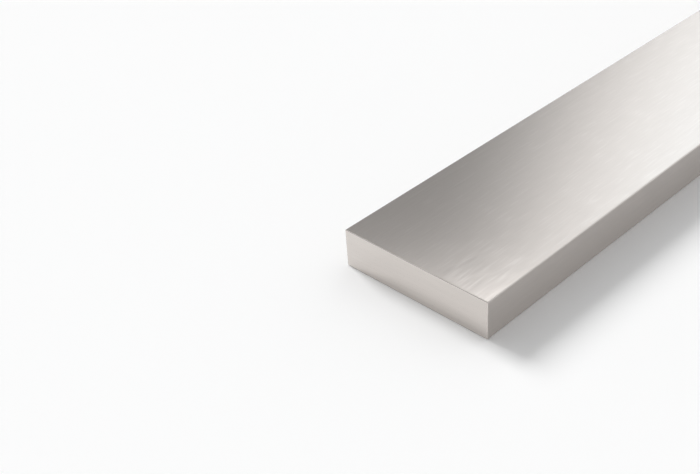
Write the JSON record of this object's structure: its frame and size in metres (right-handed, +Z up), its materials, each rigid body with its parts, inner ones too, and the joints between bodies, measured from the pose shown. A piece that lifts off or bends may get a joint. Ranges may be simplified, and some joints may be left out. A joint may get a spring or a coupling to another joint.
{
  "type": "metal flat bar",
  "caption": "Straight flat bar of brushed stainless steel with a solid rectangular section, slightly rounded long corners and square deburred ends, for cutting, drilling or welding.",
  "frame": {"origin": "middle of the underside, on the surface the bar lies on", "axes": "+X along the bar, +Y across its width, +Z up through its thickness"},
  "size_m": [0.5, 0.05, 0.012],
  "materials": {
    "brushed_stainless": "satin, with a fine brushed grain along the length and linished cut ends"
  },
  "bodies": {
    "root": {"flat_bar": "brushed_stainless"}
  },
  "joints": []
}
